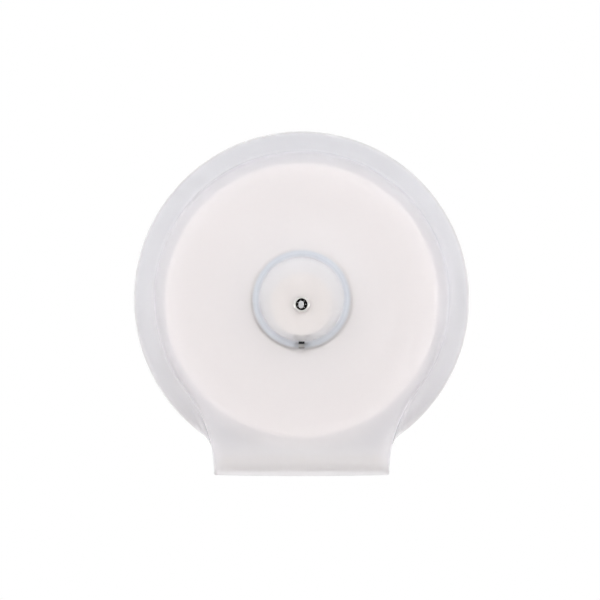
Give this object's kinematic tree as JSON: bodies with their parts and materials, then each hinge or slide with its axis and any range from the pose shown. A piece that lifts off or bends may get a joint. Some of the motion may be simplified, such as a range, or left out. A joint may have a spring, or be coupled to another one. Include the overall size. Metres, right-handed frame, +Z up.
{
  "type": "jumbo toilet roll dispenser",
  "caption": "Round wall dispenser for a jumbo toilet roll: frosted hinged cover with a round lock boss, a paper chute below, and a hub on the back plate for the roll.",
  "frame": {"origin": "on the wall's plane, on the axis of the hub that carries the roll", "axes": "X to the right as seen from the front, Y into the wall, Z up"},
  "size_m": [0.27, 0.1274, 0.2677],
  "materials": {
    "frosted_plastic": "translucent, frosted",
    "base_plastic": "pale grey-blue, fine matt grain",
    "hub_plastic": "fine matt grain",
    "bush_plastic": "natural acetal",
    "bar_plastic": "milky white, moulded",
    "disc_plastic": "warm white, semi-matt",
    "lock_chrome": "plated, slightly worn",
    "cam_steel": "bright zinc, its tip dipped in black plastic",
    "clip_steel": "black oxide",
    "pin_steel": "ground",
    "bar_steel": "rolled, satin",
    "zinc_steel": "bright zinc",
    "cardboard": "bare spiral-wound board",
    "tissue": "soft two-ply tissue"
  },
  "bodies": {
    "base": {"back_plate": "base_plastic", "roll_hub": "hub_plastic", "hub_end_cap": "hub_plastic", "hub_screws": "zinc_steel", "hinge_pin_left": "pin_steel", "hinge_pin_right": "pin_steel", "hinge_pin_clips": "clip_steel", "rear_tear_bar": "bar_steel", "rear_tear_bar_screws": "zinc_steel"},
    "cover": {"front_cover": "frosted_plastic", "hinge_bush_left": "bush_plastic", "hinge_bush_right": "bush_plastic", "lock_barrel": "lock_chrome", "lock_barrel_nut": "zinc_steel", "lock_barrel_washer": "zinc_steel", "lock_backing_disc": "disc_plastic", "front_tear_bar": "bar_plastic", "front_tear_bar_screws": "bush_plastic"},
    "lock_rotor": {"lock_plug": "lock_chrome", "lock_cam": "cam_steel", "cam_washer": "zinc_steel", "cam_nut": "zinc_steel"},
    "roll": {"roll_core": "cardboard", "paper_roll": "tissue"}
  },
  "joints": [
    {"name": "cover_hinge", "type": "hinge", "parent": "base", "child": "cover", "pos_m": [0, -0.014, -0.126], "axis": [1, 0, 0], "range_deg": [0, 90]},
    {"name": "lock_turn", "type": "hinge", "parent": "cover", "child": "lock_rotor", "pos_m": [0, -0.11, -0.004], "axis": [0, 1, 0], "range_deg": [0, 90]},
    {"name": "roll_spin", "type": "hinge", "parent": "base", "child": "roll", "pos_m": [0, -0.06, -0.0009], "axis": [0, 1, 0], "continuous": true}
  ]
}
